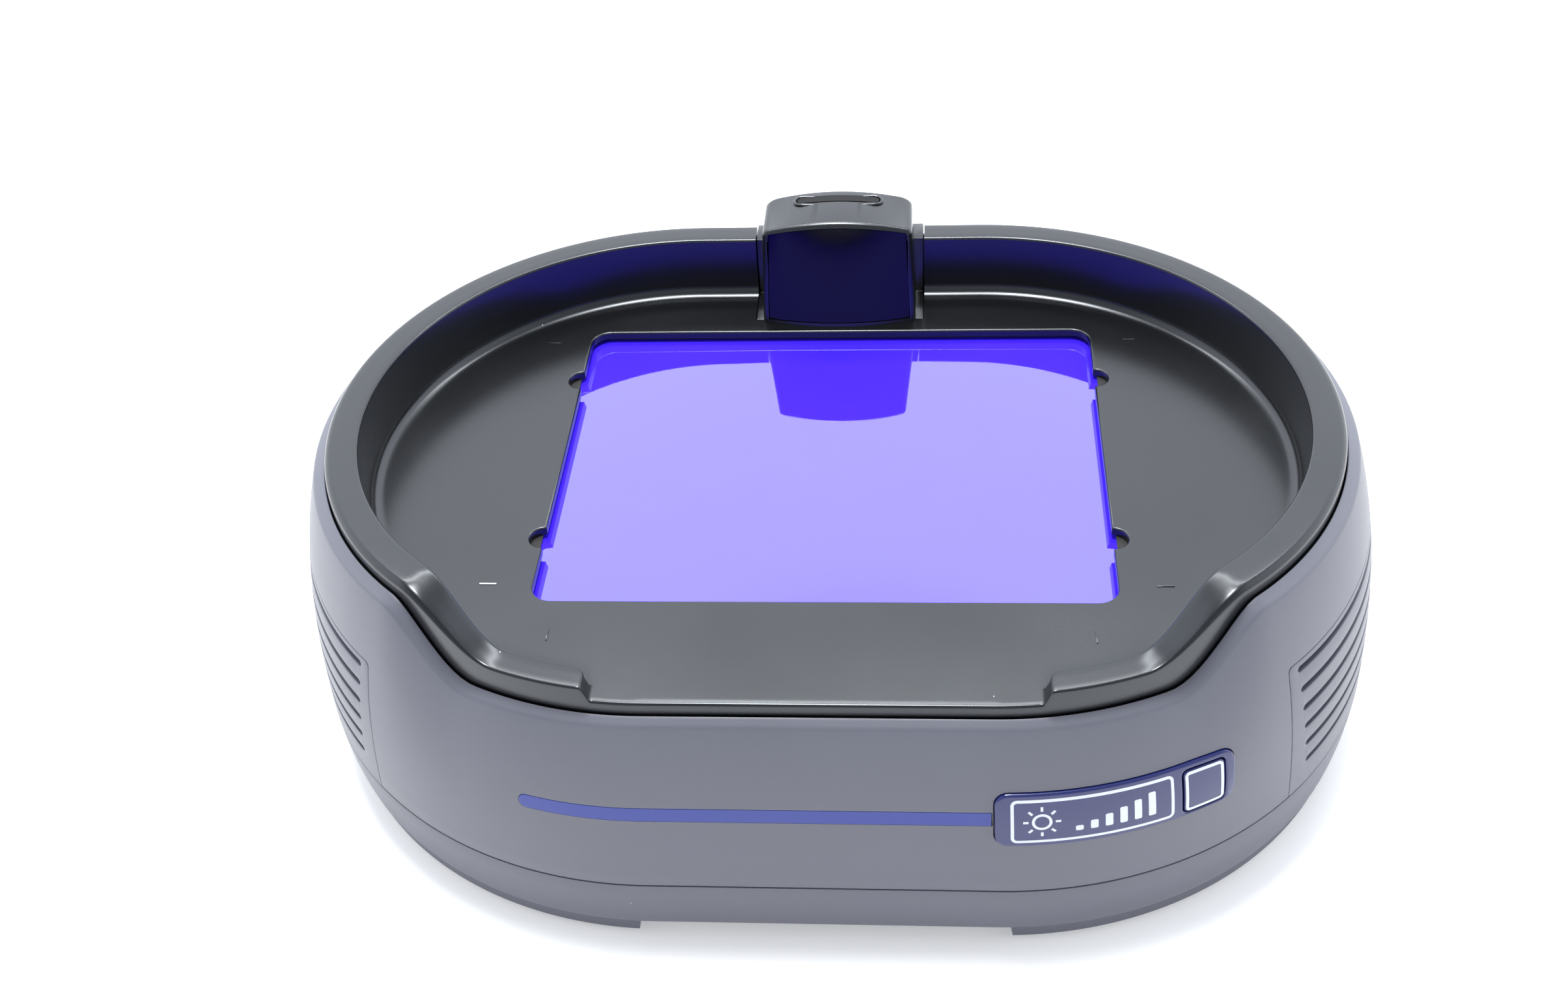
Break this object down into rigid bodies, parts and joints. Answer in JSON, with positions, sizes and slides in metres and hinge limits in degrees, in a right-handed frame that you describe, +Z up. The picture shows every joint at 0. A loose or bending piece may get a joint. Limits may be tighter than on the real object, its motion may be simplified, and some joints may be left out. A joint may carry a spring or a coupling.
{
  "type": "blue light gel viewer base",
  "caption": "Oval bench-top blue-light gel viewer base with a rimmed black tray, blue filter window, rear post, side vents and power key.",
  "frame": {"origin": "bench level under the middle of the housing's footprint", "axes": "+X to the right along the housing's length, +Y to the back where the post stands, +Z up"},
  "size_m": [0.299, 0.2118, 0.1132],
  "materials": {
    "grey_shell": "fine textured cool grey moulding",
    "black_tray": "satin black moulding, fine texture",
    "black_frame": "black moulding",
    "blue_filter": "polished deep blue filter plate",
    "navy_panel": "glossy dark navy",
    "blue_stripe": "blue printed inlay",
    "white_reflector": "white reflector moulding",
    "diffuser": "opal diffuser",
    "circuit_board": "green solder mask",
    "aluminium": "extruded",
    "steel": "plated",
    "rubber": "black rubber",
    "red_wire": "wire insulation",
    "black_wire": "wire insulation",
    "grey_wire": "wire insulation"
  },
  "bodies": {
    "housing": {"base_pan": "grey_shell", "upper_shell": "grey_shell", "vent_panel_left": "grey_shell", "vent_panel_right": "grey_shell", "tray": "black_tray", "filter_glass": "blue_filter", "glass_gasket": "rubber", "clamp_frame": "black_frame", "diffuser_plate": "diffuser", "light_box": "white_reflector", "led_board": "circuit_board", "heat_sink": "aluminium", "fan_frame": "black_frame", "driver_board": "circuit_board", "dc_inlet": "black_frame", "tower_shell": "black_tray", "tower_window": "navy_panel", "plunger_spring": "steel", "interlock_switch": "black_frame", "label_bezel": "navy_panel", "front_stripe": "blue_stripe", "button_board": "circuit_board", "foot_1": "rubber", "foot_2": "rubber", "foot_3": "rubber", "foot_4": "rubber", "shell_screw_1": "steel", "shell_screw_2": "steel", "shell_screw_3": "steel", "shell_screw_4": "steel", "clamp_screw_1": "steel", "clamp_screw_2": "steel", "clamp_screw_3": "steel", "clamp_screw_4": "steel", "board_screw_1": "steel", "board_screw_2": "steel", "board_screw_3": "steel", "board_screw_4": "steel", "led_lead": "red_wire", "fan_lead": "black_wire", "button_lead": "grey_wire", "inlet_lead": "black_wire", "switch_lead": "grey_wire"},
    "key": {"power_button": "navy_panel"},
    "plunger": {"interlock_plunger": "black_tray"},
    "rotor": {"fan_rotor": "black_frame"}
  },
  "joints": [
    {"name": "key_press", "type": "slide", "parent": "housing", "child": "key", "axis": [-0.4823, 0.876, 0], "range_m": [0, 0.0006], "stiffness_N_per_m": 2000},
    {"name": "plunger_press", "type": "slide", "parent": "housing", "child": "plunger", "axis": [0, 0, -1], "range_m": [0, 0.002], "stiffness_N_per_m": 400},
    {"name": "fan_spin", "type": "hinge", "parent": "housing", "child": "rotor", "pos_m": [0.118, 0, 0.0399], "axis": [1, 0, 0], "continuous": true}
  ]
}
